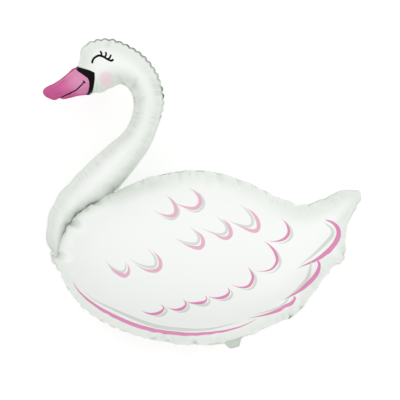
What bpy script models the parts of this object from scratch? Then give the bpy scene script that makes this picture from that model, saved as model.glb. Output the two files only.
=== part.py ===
"""A swan foil balloon, air filled, lying on its side.

Two printed foil sheets are heat sealed together all round the swan's outline and, between the foot of
the neck and the chest, along an inner weld. The sheets bulge apart everywhere else. The balloon lies with
its seam level, so +X runs from the beak to the tail, +Y from the belly to the head, and +Z is up.
"""

import math

import bmesh
import bpy
import numpy as np
from mathutils import Vector
from mathutils.geometry import delaunay_2d_cdt

# Driving sizes, in metres
LENGTH = 0.80  # beak tip to tail tip, over the seam
BODY_THICKNESS = 0.300  # at the thickest place of the body
SEAM_WIDTH = 0.005  # flat rim where the two sheets are sealed
SEAM_THICKNESS = 0.001  # the two sheets together, stiffened for a solid
TAB_WIDTH = 0.038  # filling tab under the belly
TAB_REACH = 0.017  # how far the tab stands out of the belly's edge
TAB_CORNER_RADIUS = 0.010
REST_FLAT_DEPTH = 0.004  # how much of the belly side its own weight presses flat
PUCKER_DEPTH = 0.0035  # how far the seam is drawn in at each pucker
PUCKER_LIFT = 0.0030  # how far the seam waves up and down between puckers
PUCKER_REACH = 0.022  # how far a pucker's crease runs in from the seam
PUCKER_GROOVE = 0.16  # share of the local thickness that a crease takes away

# Spacing of the mesh, in metres
PLAIN_SPACING = 0.012  # along stretches of the seam that are pulled tight
WELD_SPACING = 0.008
RING_DEPTHS = (0.0045, 0.012, 0.023)  # rows of points inside the seam
GRID_SPACING = 0.019
GRID_DEPTH = 0.033
JOIN_DISTANCE = 1e-6  # points nearer than this are one point

# Counts and shares of the mesh
POINTS_PER_PUCKER = 4
RING_CLEARANCE = 0.72  # share of its own depth that a row keeps from every edge
MERGE_SHARE = 0.55  # points closer than this share of their spacing are dropped
STEPS_PER_SPAN = 24  # steps between two drawn points of a smooth curve
PRINT_EDGE_STEPS = 9
TAB_CORNER_TURNS = (0, 30, 60, 90)  # degrees round each outer corner of the tab
TAB_CORNER_SHARE = 0.9  # most that a corner takes of the tab's half width or reach
NEARLY_ALL = 0.98  # share of the seam's width that its inner line may fall short by rounding

# The swan is drawn on squared paper, with this many squares to its length
SQUARES = 320
SQUARE = LENGTH / SQUARES
SIDE_FULLNESS = 0.48  # power of the bulge: a lower value gives steeper sides
CREASE_SHARPNESS = 3  # power of the wave between puckers: a higher value gives narrower creases

# The outline, clockwise from the beak's tip: a name, how many puckers, and the points
OUTLINE = (
    ("beak_top", 0, ((0, 258), (2.5, 262), (7, 264.5), (13, 267.5), (22, 274), (33.5, 284.5))),
    ("forehead", 1, ((33.5, 284.5), (36, 289), (37.5, 296), (39, 302.5), (43, 307))),
    ("crown", 5, ((43, 307), (51, 310.5), (60, 312), (71, 311.5), (82, 307.5))),
    ("nape", 13, ((82, 307.5), (97, 299), (108, 288.5), (117, 274), (121.5, 258), (122, 243), (118, 229))),
    ("neck_back", 0, ((118, 229), (108, 204), (99, 190.5), (87, 174.5), (72.5, 157))),
    ("back", 8, ((72.5, 157), (90, 167), (108, 173), (136, 179), (149, 180.5), (174, 178), (198, 170.5),
                 (223, 159.5))),
    ("rump_hollow", 0, ((223, 159.5), (235.5, 151.5), (247, 146), (258, 144.5), (269, 147), (281.5, 153))),
    ("tail_top", 1, ((281.5, 153), (294, 158.5), (303, 161), (311, 161.5))),
    ("tail_tip", 3, ((311, 161.5), (317, 159.5), (319.8, 154), (317, 146), (310, 134.5))),
    ("tail_back", 0, ((310, 134.5), (305, 125.5), (302.7, 113), (303.5, 101.5), (303.5, 95))),
    ("rump_corner", 3, ((303.5, 95), (301, 88), (296, 85), (287, 81))),
    ("rump", 0, ((287, 81), (279.5, 70.5), (271.5, 59), (264, 47.5), (256, 36.5))),
    ("belly_back", 4, ((256, 36.5), (246, 30.5), (234.5, 27), (220, 20.5), (199, 11.5))),
    ("tab", 0, None),
    ("belly", 4, ((182, 6), (169, 4.5), (153, 5), (138.5, 9), (125, 7.5), (112, 9.5), (98, 13))),
    ("chest", 9, ((98, 13), (85, 17), (70, 22.5), (54.5, 31), (42, 40), (31.5, 51.5), (24, 62.5),
                  (16.5, 77.5))),
    ("neck_foot", 3, ((16.5, 77.5), (12, 84), (8.5, 89), (7, 94), (7, 99.5))),
    ("neck_front", 4, ((7, 99.5), (4, 107), (3, 118), (5, 133), (12.5, 151), (24, 165.5), (44, 185.5))),
    ("throat", 0, ((44, 185.5), (67, 206), (78.5, 215.5), (86.5, 227), (90.7, 241), (90.3, 252.5),
                   (86, 261.5), (79, 265.5), (72.5, 263.5), (66, 259.5))),
    ("chin", 1, ((66, 259.5), (60, 256.8), (53.5, 257), (48, 255.3))),
    ("beak_under", 0, ((48, 255.3), (36, 254), (22, 250.7), (17, 251.5))),
    ("beak_tip", 0, ((17, 251.5), (12, 249.7), (8, 251), (4.5, 252.5), (1, 255), (0, 258))),
)
TAB_ROOT = ((199, 11.5), (182, 6))
# The inner weld, from the notch between neck and back down to the foot of the neck
WELD = ((72.5, 157), (64, 151.5), (54, 148.5), (45, 143.5), (34, 135), (25.5, 125.5), (20.5, 113),
        (17.5, 101), (15.5, 94))
# Printed colour: the rear edge of the pink beak, and of the black band behind it
BEAK_EDGE = ((33.5, 284.5), (35, 280.5), (38, 277.5), (43, 274.5), (46, 269), (46.3, 264), (44.8, 254.6))
BAND_EDGE = ((35, 287.5), (36, 282.5), (42, 281), (51.5, 277.8), (52, 272), (50.8, 262), (48, 255.3))
PRINT_MARGIN = 20  # squares by which a printed area is drawn past the edge


def metres(points):
    """Squared-paper points as an array of metres."""
    return np.array(points, float) * SQUARE


def smooth_line(points, count):
    """A smooth curve through the points, as count equal steps. The last point is left out."""
    knots = np.array(points, float)
    if len(knots) == 2:
        return knots[0] + (knots[1] - knots[0]) * np.linspace(0, 1, count, endpoint=False)[:, None]
    padded = np.vstack([2 * knots[0] - knots[1], knots, 2 * knots[-1] - knots[-2]])
    t = np.linspace(0, 1, STEPS_PER_SPAN, endpoint=False)[:, None]
    dense = []
    for a, b, c, d in zip(padded[:-3], padded[1:-2], padded[2:-1], padded[3:]):
        bend = 2 * a - 5 * b + 4 * c - d
        twist = 3 * b - a - 3 * c + d
        dense.append(b + ((c - a) * t + bend * t**2 + twist * t**3) / 2)
    dense = np.vstack([*dense, knots[-1:]])
    run = np.concatenate([[0], np.cumsum(np.linalg.norm(np.diff(dense, axis=0), axis=1))])
    at = np.linspace(0, run[-1], count, endpoint=False)
    return np.column_stack([np.interp(at, run, dense[:, k]) for k in (0, 1)])


def length_of(points):
    """Length of the smooth curve through the points."""
    line = smooth_line(points, STEPS_PER_SPAN * len(points))
    return float(np.linalg.norm(np.diff(np.vstack([line, points[-1]]), axis=0), axis=1).sum())


def tab_axes():
    """The filling tab's rear root, its root width, and its directions along the root and outwards."""
    rear, front = metres(TAB_ROOT)
    width = np.linalg.norm(front - rear)
    along = (front - rear) / width
    return rear, width, along, np.array([-along[1], along[0]])


def tab_line():
    """The filling tab's edge, from its rear root round its blunt end to its front root."""
    rear, width, along, out = tab_axes()
    middle = rear + along * width / 2
    half, reach = TAB_WIDTH / 2, TAB_REACH
    radius = min(TAB_CORNER_RADIUS, half * TAB_CORNER_SHARE, reach * TAB_CORNER_SHARE)
    edge = [rear]
    for side in (-1, 1):
        centre = middle + along * side * (half - radius) + out * (reach - radius)
        quarter = [math.radians(angle) for angle in TAB_CORNER_TURNS]
        turns = quarter if side < 0 else quarter[::-1]
        edge += [centre + radius * (along * side * math.cos(a) + out * math.sin(a)) for a in turns]
    return np.array(edge)


def outline_loop():
    """The seam's outer edge: its points, and for each the pucker's phase in half waves and its strength."""
    points, phase, strength = [], [], []
    turns = 0
    for name, puckers, stretch in OUTLINE:
        if name == "tab":
            line = tab_line()
            count = len(line)
        else:
            stretch = metres(stretch)
            count = puckers * POINTS_PER_PUCKER or max(2, round(length_of(stretch) / PLAIN_SPACING))
            line = smooth_line(stretch, count)
        share = np.linspace(0, 1, count, endpoint=False)
        points.append(line)
        phase.append(turns + share * puckers)
        strength.append(np.full(count, 1.0 if puckers else 0.0))
        turns += puckers
    return np.vstack(points), np.concatenate(phase), np.concatenate(strength)


def distance_to(line, points, closed=True):
    """Distance of each point from the polyline, with the segment and the share along it that is nearest."""
    start = line if closed else line[:-1]
    end = np.roll(line, -1, axis=0) if closed else line[1:]
    span = end - start
    share = ((points[:, None] - start) * span).sum(2) / (span**2).sum(1)
    share = np.clip(share, 0, 1)
    gap = np.linalg.norm(points[:, None] - (start + share[..., None] * span), axis=2)
    nearest = gap.argmin(1)
    rows = np.arange(len(points))
    return gap[rows, nearest], nearest, share[rows, nearest]


def is_inside(loop, points):
    """Which points lie inside the closed loop."""
    x, y = points[:, 0, None], points[:, 1, None]
    (x0, y0), (x1, y1) = loop.T, np.roll(loop, -1, axis=0).T
    rise = np.where(y1 == y0, 1e-12, y1 - y0)
    crosses = ((y0 > y) != (y1 > y)) & (x < (x1 - x0) * (y - y0) / rise + x0)
    return crosses.sum(1) % 2 == 1


def offset_inwards(loop, depth):
    """Each point of a clockwise loop moved inwards by depth."""
    ahead = np.roll(loop, -1, axis=0) - loop
    ahead /= np.linalg.norm(ahead, axis=1)[:, None]
    both = ahead + np.roll(ahead, 1, axis=0)
    both /= np.maximum(np.linalg.norm(both, axis=1), 1e-9)[:, None]
    return loop + depth * np.column_stack([both[:, 1], -both[:, 0]])


def plan_points(loop, weld, prints):
    """Every point of the plan: the edge, the seam's inner line, the weld, print lines, rows and a grid."""
    kept = [loop]

    def add(points, depth, apart, edge_share):
        inside = is_inside(loop, points)
        to_edge = distance_to(loop, points)[0]
        to_weld = distance_to(weld, points, closed=False)[0]
        good = inside & (to_edge >= edge_share * depth) & (to_weld >= RING_CLEARANCE * (depth - SEAM_WIDTH))
        taken = np.vstack(kept)
        before = len(taken)
        for point in points[good]:
            if np.linalg.norm(taken - point, axis=1).min() >= MERGE_SHARE * apart:
                taken = np.vstack([taken, point])
        kept.append(taken[before:])

    kept.append(weld[1:])
    for line in prints:
        add(line[1:-1], SEAM_WIDTH, SEAM_WIDTH, 1.0)
    add(offset_inwards(loop, SEAM_WIDTH), SEAM_WIDTH, SEAM_WIDTH, NEARLY_ALL)
    for depth in RING_DEPTHS:
        reach, apart = SEAM_WIDTH + depth, SEAM_WIDTH + depth / 2
        add(offset_inwards(loop, reach), reach, apart, RING_CLEARANCE)
        for side in (-1, 1):
            add(offset_inwards(weld, side * depth), reach, apart, RING_CLEARANCE)
    low, high = loop.min(0), loop.max(0)
    row_step = GRID_SPACING * math.sqrt(3) / 2
    rows = []
    for j in range(math.ceil((high[1] - low[1]) / row_step)):
        x = np.arange(low[0] + GRID_SPACING / 2 * (j % 2), high[0], GRID_SPACING)
        rows.append(np.column_stack([x, np.full(len(x), low[1] + j * row_step)]))
    add(np.vstack(rows), GRID_DEPTH, GRID_SPACING, 1.0)
    return np.vstack(kept)


def triangulate(points, loop_count, weld_count):
    """Joins the plan's points into triangles inside the edge, keeping the weld as a chain of edges."""
    edges = [(loop_count + i, loop_count + i + 1) for i in range(weld_count - 1)]
    corners = [Vector(p) for p in points]
    outline = [list(range(loop_count))]
    inside_only = 1
    found, _, faces, origin, _, _ = delaunay_2d_cdt(corners, edges, outline, inside_only, JOIN_DISTANCE)
    order = [o[0] for o in origin]
    if len(found) != len(points):
        raise ValueError("the outline crosses itself")
    return np.array([[order[i] for i in f] for f in faces])


def bulge(points, faces, flat):
    """Height of an evenly loaded skin over the plan, zero at the flat points, as a share of its highest."""
    n = len(points)
    stiffness = np.zeros((n, n))
    load = np.zeros(n)
    for k in range(3):
        i, j, o = faces[:, k], faces[:, (k + 1) % 3], faces[:, (k + 2) % 3]
        a, b = points[i] - points[o], points[j] - points[o]
        twice_area = np.abs(a[:, 0] * b[:, 1] - a[:, 1] * b[:, 0])
        half_cotangent = (a * b).sum(1) / twice_area / 2
        np.add.at(stiffness, (i, j), -half_cotangent)
        np.add.at(stiffness, (j, i), -half_cotangent)
        np.add.at(stiffness, (i, i), half_cotangent)
        np.add.at(stiffness, (j, j), half_cotangent)
        np.add.at(load, i, twice_area / 6)
    free = ~flat
    height = np.zeros(n)
    height[free] = np.linalg.solve(stiffness[np.ix_(free, free)], load[free])
    return np.clip(height, 0, None) / height.max()


def in_tab(points):
    """Which points lie in the filling tab, or in the seam across its root."""
    rear, width, along, out = tab_axes()
    beyond = (points - rear) @ out
    off_middle = np.abs((points - rear) @ along - width / 2)
    return (beyond > -SEAM_WIDTH) & (off_middle < max(TAB_WIDTH, width) / 2 + SEAM_WIDTH)


def puckers(points, loop, phase, strength, depth):
    """At each point, the crease's and the wave's share, fading from the seam, and the inward direction."""
    _, nearest, share = distance_to(loop, points)
    following = (nearest + 1) % len(loop)
    step = phase[following] - phase[nearest]
    step = np.where(step < 0, 0, step)
    at = phase[nearest] + share * step
    amount = strength[nearest] * (1 - share) + strength[following] * share
    fade = amount * np.exp(-depth / PUCKER_REACH)
    crease = fade * np.abs(np.cos(math.pi * at)) ** CREASE_SHARPNESS
    wave = fade * np.sin(2 * math.pi * at)
    inwards = offset_inwards(loop, 1.0) - loop
    return crease, wave, inwards[nearest]


def print_materials():
    """Foil, beak and band, in the order that face colours name them."""
    looks = (("pearl_foil", (0.86, 0.89, 0.85), 0.28), ("beak_pink", (0.68, 0.17, 0.40), 0.30),
             ("band_black", (0.01, 0.008, 0.008), 0.30))
    made = []
    for name, colour, roughness in looks:
        material = bpy.data.materials.new(name)
        material.use_nodes = True
        shader = material.node_tree.nodes["Principled BSDF"]
        shader.inputs["Base Color"].default_value = (*colour, 1.0)
        shader.inputs["Roughness"].default_value = roughness
        shader.inputs["Metallic"].default_value = 0.25
        made.append(material)
    return made


def colour_of(centre, beak, band):
    """Material number for a face whose centre is at this place in the plan."""
    margin = PRINT_MARGIN * SQUARE
    for number, edge in ((1, beak), (2, band)):
        past_tip = [(-margin, edge[-1][1] - margin), (-margin, edge[0][1] + margin)]
        if is_inside(np.vstack([edge, past_tip]), centre[None])[0]:
            return number
    return 0


def build_balloon():
    """The whole envelope as one closed mesh, standing on its flattened side at z = 0."""
    loop, phase, strength = outline_loop()
    weld_curve = metres(WELD)
    weld = smooth_line(weld_curve, round(length_of(weld_curve) / WELD_SPACING))
    weld = np.vstack([weld, weld_curve[-1:]])
    weld[0] = offset_inwards(loop, SEAM_WIDTH)[np.linalg.norm(loop - weld[0], axis=1).argmin()]
    beak, band = (np.vstack([smooth_line(metres(edge), PRINT_EDGE_STEPS), metres(edge[-1:])])
                  for edge in (BEAK_EDGE, BAND_EDGE))
    points = plan_points(loop, weld, (beak, band))
    edge_count = len(loop)
    faces = triangulate(points, edge_count, len(weld) - 1)

    depth = distance_to(loop, points)[0]
    flat = depth < SEAM_WIDTH / NEARLY_ALL
    flat[edge_count:edge_count + len(weld) - 1] = True
    flat |= in_tab(points)
    height = BODY_THICKNESS / 2 * bulge(points, faces, flat) ** SIDE_FULLNESS

    inner_depth = np.clip(depth - SEAM_WIDTH, 0, None)
    crease, wave, inwards = puckers(points, loop, phase, strength, inner_depth)
    plan = points + inwards * (PUCKER_DEPTH * crease)[:, None]
    height *= 1 - PUCKER_GROOVE * crease
    lift = PUCKER_LIFT * wave

    foil_half = SEAM_THICKNESS / 2
    floor = -(height.max() + foil_half - REST_FLAT_DEPTH)
    centre = (plan.min(0) + plan.max(0)) / 2
    plan = plan - centre
    upper = np.column_stack([plan, lift + height + foil_half - floor])
    lower = np.column_stack([plan, lift - height - foil_half - floor])

    mesh = bpy.data.meshes.new("swan_balloon")
    built = bmesh.new()
    top = [built.verts.new(p) for p in upper]
    bottom = [built.verts.new(p) for p in lower]
    for a, b, c in faces:
        number = colour_of(points[[a, b, c]].mean(0), beak, band)
        for verts in ((top[a], top[b], top[c]), (bottom[c], bottom[b], bottom[a])):
            face = built.faces.new(verts)
            face.smooth = True
            face.material_index = number
    for i in range(edge_count):
        j = (i + 1) % edge_count
        built.faces.new((top[i], top[j], bottom[j], bottom[i]))
    press_flat(built)
    bmesh.ops.recalc_face_normals(built, faces=built.faces)
    built.to_mesh(mesh)
    built.free()
    for material in print_materials():
        mesh.materials.append(material)
    balloon = bpy.data.objects.new("swan_balloon", mesh)
    bpy.context.scene.collection.objects.link(balloon)
    return balloon


def press_flat(built):
    """Cuts the underside level at z = 0, where the balloon's weight presses it on what it lies on."""
    everything = built.verts[:] + built.edges[:] + built.faces[:]
    cut = bmesh.ops.bisect_plane(built, geom=everything, plane_co=(0, 0, 0), plane_no=(0, 0, -1),
                                 clear_outer=True)
    rim = [item for item in cut["geom_cut"] if isinstance(item, bmesh.types.BMEdge)]
    bmesh.ops.contextual_create(built, geom=rim)


def main():
    """Clears the scene and builds the balloon."""
    for item in list(bpy.data.objects):
        bpy.data.objects.remove(item)
    build_balloon()


if __name__ == "__main__":
    main()
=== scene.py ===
"""Dresses the swan balloon: an inflated pearl foil envelope with its print, and the sealed band round it.

The envelope is blown up from its two flat sheets by a relaxation of taut foil under pressure, so the creases
along the seam come from the foil that the seam has too much of. The printed areas are cut into the mesh, so
every ink has faces and a material of its own. All sizes are in metres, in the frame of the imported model.
"""

import logging
import math
from collections.abc import Iterable, Sequence
from dataclasses import dataclass, field
from enum import Enum

import bmesh
import bpy
import numpy as np
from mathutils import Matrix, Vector, kdtree
from mathutils.bvhtree import BVHTree
from mathutils.geometry import delaunay_2d_cdt

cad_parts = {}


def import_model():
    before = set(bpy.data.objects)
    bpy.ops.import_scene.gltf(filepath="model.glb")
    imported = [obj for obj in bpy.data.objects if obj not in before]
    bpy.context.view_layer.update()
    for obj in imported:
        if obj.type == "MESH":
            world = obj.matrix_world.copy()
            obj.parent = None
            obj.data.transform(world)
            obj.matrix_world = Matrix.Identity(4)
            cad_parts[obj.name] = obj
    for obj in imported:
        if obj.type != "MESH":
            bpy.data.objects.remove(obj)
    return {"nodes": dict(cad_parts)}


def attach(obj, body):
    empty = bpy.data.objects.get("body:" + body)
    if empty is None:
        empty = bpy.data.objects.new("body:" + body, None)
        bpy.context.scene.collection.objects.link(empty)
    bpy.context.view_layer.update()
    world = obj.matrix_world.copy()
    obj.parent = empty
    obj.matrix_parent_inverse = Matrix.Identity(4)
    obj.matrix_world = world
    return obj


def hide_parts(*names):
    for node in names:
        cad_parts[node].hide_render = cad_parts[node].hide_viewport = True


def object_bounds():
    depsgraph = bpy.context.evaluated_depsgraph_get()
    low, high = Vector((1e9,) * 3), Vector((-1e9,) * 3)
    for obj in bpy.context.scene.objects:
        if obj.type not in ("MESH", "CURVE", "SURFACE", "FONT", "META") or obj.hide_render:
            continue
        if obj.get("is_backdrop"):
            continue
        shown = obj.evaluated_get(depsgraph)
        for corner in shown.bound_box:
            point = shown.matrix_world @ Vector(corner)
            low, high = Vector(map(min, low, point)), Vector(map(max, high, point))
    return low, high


LOG = logging.getLogger("swan_balloon")
NODE = "swan_balloon"
BODY = "root"

Point = tuple[float, float]
Colour = tuple[float, float, float]
Socket = bpy.types.NodeSocket
Inputs = dict[str | int, object]

BLUSH_PIXEL = (106.1, 78.3)
BATCH = 1500
TINY = 1e-12
MESH_TOLERANCE = 1e-7
PRINT_TOLERANCE = 2e-6


class Ink(Enum):
    """What a face of the envelope is printed with. The value is its place in the material slots."""

    PEARL = 0
    BEAK = 1
    BLACK = 2
    PALE_PINK = 3
    PINK = 4
    GREY = 5
    BLUSH = 6


# Curves in the plane


def spline(a: np.ndarray, b: np.ndarray, c: np.ndarray, d: np.ndarray, t: np.ndarray) -> np.ndarray:
    """Gives the places at shares t of the way from b to c on the smooth curve through all four."""
    bend = 2 * a - 5 * b + 4 * c - d
    twist = 3 * b - a - 3 * c + d
    return b + ((c - a) * t + bend * t**2 + twist * t**3) / 2


def smooth_curve(points: np.ndarray, closed: bool, steps: int = 8) -> np.ndarray:
    """Finds a smooth curve through the points.

    Args:
        points: The points, in order, with any number of columns.
        closed: Whether the curve runs back to its first point.
        steps: How many steps each span is cut into.

    Returns:
        The curve's points. A closed curve repeats its first point at the end.
    """
    knots = np.asarray(points, float)
    if closed:
        padded = np.vstack([knots[-1:], knots, knots[:2]])
    else:
        padded = np.vstack([2 * knots[0] - knots[1], knots, 2 * knots[-1] - knots[-2]])
    t = np.linspace(0, 1, steps, endpoint=False)[:, None]
    spans = [spline(*four, t) for four in zip(padded[:-3], padded[1:-2], padded[2:-1], padded[3:])]
    return np.vstack([*spans, knots[:1] if closed else knots[-1:]])


def evenly(points: np.ndarray, spacing: float, closed: bool) -> np.ndarray:
    """Steps along the smooth curve through the points.

    Args:
        points: The points that the curve runs through.
        spacing: The wanted distance from step to step.
        closed: Whether the curve runs back to its first point, which is then not repeated.

    Returns:
        Points at equal distances along the curve.
    """
    curve = smooth_curve(points, closed)
    run = np.concatenate([[0], np.cumsum(np.linalg.norm(np.diff(curve, axis=0), axis=1))])
    count = max(2, round(run[-1] / spacing))
    at = np.linspace(0, run[-1], count + (not closed), endpoint=not closed)
    return np.column_stack([np.interp(at, run, column) for column in curve.T])


def unit(vectors: np.ndarray) -> np.ndarray:
    """Gives each row's direction as a row of length one."""
    return vectors / np.maximum(np.linalg.norm(vectors, axis=1), TINY)[:, None]


def inward(loop: np.ndarray) -> np.ndarray:
    """Gives the unit direction into a clockwise loop at each of its points."""
    ahead = unit(np.roll(loop, -1, axis=0) - loop)
    both = unit(ahead + np.roll(ahead, 1, axis=0))
    return np.column_stack([both[:, 1], -both[:, 0]])


def nearest_on(line: np.ndarray, points: np.ndarray, closed: bool) -> tuple[np.ndarray, ...]:
    """Finds the nearest place on a polyline for each point.

    Args:
        line: The polyline's points.
        points: The points to look from.
        closed: Whether the last point joins the first.

    Returns:
        The distances, the segments' numbers and the shares along them.
    """
    start = line if closed else line[:-1]
    span = (np.roll(line, -1, axis=0) if closed else line[1:]) - start
    squared = (span**2).sum(1)
    found = []
    for part in np.array_split(points, len(points) // BATCH + 1):
        share = np.clip(((part[:, None] - start) * span).sum(2) / squared, 0, 1)
        gap = np.linalg.norm(part[:, None] - (start + share[..., None] * span), axis=2)
        nearest = gap.argmin(1)
        rows = np.arange(len(part))
        found.append((gap[rows, nearest], nearest, share[rows, nearest]))
    return tuple(np.concatenate(column) for column in zip(*found))


def inside(loop: np.ndarray, points: np.ndarray) -> np.ndarray:
    """Tells which points lie inside a closed loop, each inside the loop's box tested against every side."""
    within = ((points >= loop.min(0)) & (points <= loop.max(0))).all(1)
    (x0, y0), (x1, y1) = loop.T, np.roll(loop, -1, axis=0).T
    rise = np.where(y1 == y0, TINY, y1 - y0)
    picked = np.flatnonzero(within)
    for part in np.array_split(picked, len(picked) // BATCH + 1):
        x, y = points[part, 0, None], points[part, 1, None]
        crosses = ((y0 > y) != (y1 > y)) & (x < (x1 - x0) * (y - y0) / rise + x0)
        within[part] = crosses.sum(1) % 2 == 1
    return within


def tree_of(points: np.ndarray) -> kdtree.KDTree:
    """Makes a search tree of places in the plan."""
    tree = kdtree.KDTree(len(points))
    for number, (x, y) in enumerate(points):
        tree.insert((x, y, 0), number)
    tree.balance()
    return tree


def edges_of(faces: np.ndarray) -> np.ndarray:
    """Lists each edge of the triangles once, its lower point first."""
    pairs = np.vstack([faces[:, [0, 1]], faces[:, [1, 2]], faces[:, [2, 0]]])
    return np.unique(np.sort(pairs, axis=1), axis=0)


def gathered(index: np.ndarray, values: np.ndarray, count: int) -> np.ndarray:
    """Adds up the rows of values that belong to each of count points."""
    return np.column_stack([np.bincount(index, column, count) for column in values.T])


# Where the photograph's pixels lie


@dataclass(frozen=True)
class PhotoScale:
    """Turns pixels of the photograph into places in the plan, by the balloon's own box.

    Attributes:
        low: The CAD box's lowest corner.
        high: Its highest corner.
        beak_tip_column: Pixel column of the beak's tip.
        tail_tip_column: Pixel column of the tail's tip.
        crown_row: Pixel row of the top of the head.
    """

    low: Vector
    high: Vector
    beak_tip_column: float = 42.5
    tail_tip_column: float = 361.6
    crown_row: float = 37.9

    @property
    def pixel(self) -> float:
        """The size of one pixel."""
        return (self.high.x - self.low.x) / (self.tail_tip_column - self.beak_tip_column)

    def place(self, pixels: Sequence[Point]) -> np.ndarray:
        """Gives the plan's places of these pixels."""
        column, row = np.asarray(pixels, float).T
        x = self.low.x + (column - self.beak_tip_column) * self.pixel
        y = self.high.y - (row - self.crown_row) * self.pixel
        return np.column_stack([x, y])


@dataclass(frozen=True)
class Viewpoint:
    """Where the photograph was taken from: straight above its middle.

    Attributes:
        scale: Where the photograph's pixels lie in the seam's plane.
        seam_height: The height of that plane.
        centre_pixel: The photograph's middle.
        frame_pixels: The photograph's width.
        lens: Focal length, in millimetres.
        sensor: Sensor width, in millimetres.
    """

    scale: PhotoScale
    seam_height: float
    centre_pixel: Point = (200, 200)
    frame_pixels: float = 400
    lens: float = 100
    sensor: float = 36

    @property
    def eye(self) -> Vector:
        """Where the camera is."""
        x, y = self.scale.place([self.centre_pixel])[0]
        above = self.frame_pixels * self.scale.pixel * self.lens / self.sensor
        return Vector((x, y, self.seam_height + above))

    def seen_at(self, pixel: Point, rise: float) -> Point:
        """Gives the place that a pixel shows of a surface that stands so much above the seam's plane."""
        eye = self.eye
        share = 1 - rise / (eye.z - self.seam_height)
        x, y = self.scale.place([pixel])[0]
        return eye.x + (x - eye.x) * share, eye.y + (y - eye.y) * share


# The outline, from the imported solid


@dataclass(frozen=True)
class Tab:
    """The flat filling tab under the belly.

    Attributes:
        root: Pixels of the two ends of its root, the rear one first.
        width: Its width.
        reach: How far it stands out of the seam's band.
        corner: Radius of its two outer corners.
        start: How far outside its root the solid's points count as the tab's.
    """

    root: tuple[Point, Point] = ((241.5, 338.5), (224.5, 344.0))
    width: float = 0.038
    reach: float = 0.017
    corner: float = 0.010
    start: float = 0.001

    def axes(self, scale: PhotoScale) -> tuple[np.ndarray, np.ndarray, np.ndarray]:
        """Gives the root's middle and the directions along the root and outwards."""
        rear, front = scale.place(self.root)
        along = (front - rear) / np.linalg.norm(front - rear)
        return (rear + front) / 2, along, np.array([-along[1], along[0]])

    def depth_at(self, beside: np.ndarray) -> np.ndarray:
        """How far the tab reaches at each distance from its middle line, with round corners."""
        over = np.clip(np.abs(beside) - (self.width / 2 - self.corner), 0, self.corner)
        depth = self.reach - self.corner + np.sqrt(self.corner**2 - over**2)
        return np.where(np.abs(beside) <= self.width / 2, depth, 0.0)


@dataclass
class Rim:
    """The seam's outer edge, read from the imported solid.

    Attributes:
        loop: The edge's points in the plan, clockwise, without the tab.
        height: The height of the seam's middle plane.
    """

    loop: np.ndarray
    height: float

    @classmethod
    def of_solid(cls, solid: bpy.types.Object, tab: Tab, scale: PhotoScale) -> "Rim":
        """Walks along the upper edge of the solid's thin upright rim.

        Args:
            solid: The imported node.
            tab: The filling tab, whose points are left out.
            scale: Where the photograph's pixels lie.

        Returns:
            The rim.
        """
        work = bmesh.new()
        work.from_mesh(solid.data)
        bmesh.ops.remove_doubles(work, verts=work.verts, dist=1e-5)
        work.normal_update()
        upright = {face for face in work.faces if abs(face.normal.z) < 1e-3}
        borders = [edge for edge in work.edges if len(upright.intersection(edge.link_faces)) == 1]
        heights = [vert.co.z for edge in borders for vert in edge.verts]
        following = {}
        for edge in borders:
            for loop in edge.link_loops:
                if loop.face not in upright and loop.face.normal.z > 0:
                    following[loop.vert] = loop.link_loop_next.vert
        start = vert = next(iter(following))
        points = [start.co.xy.to_tuple()]
        while (vert := following[vert]) != start:
            points.append(vert.co.xy.to_tuple())
        work.free()
        loop = np.array(points)
        area = (loop[:, 0] * np.roll(loop[:, 1], -1) - loop[:, 1] * np.roll(loop[:, 0], -1)).sum()
        if area > 0:
            loop = loop[::-1]
        middle, along, out = tab.axes(scale)
        on_tab = ((loop - middle) @ out > tab.start) & (np.abs((loop - middle) @ along) < tab.width)
        return cls(loop[~on_tab], (min(heights) + max(heights)) / 2)


# The flat sheet as a mesh


@dataclass
class PlanMesh:
    """One sheet of the envelope, seen from above, as triangles.

    Attributes:
        points: The plan's points: the seam's first, then the weld's, then the rest.
        faces: The triangles.
        seam_count: How many points the seam has.
        weld: The numbers of the weld's points, from the seam to its free end.
    """

    points: np.ndarray
    faces: np.ndarray
    seam_count: int
    weld: np.ndarray

    @property
    def lines(self) -> tuple[tuple[np.ndarray, bool], ...]:
        """The seam and the weld, and whether each runs back to its first point."""
        return (self.points[:self.seam_count], True), (self.points[self.weld], False)

    @property
    def joined(self) -> int:
        """How many points the two sheets share."""
        return self.seam_count + len(self.weld) - 1


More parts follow.
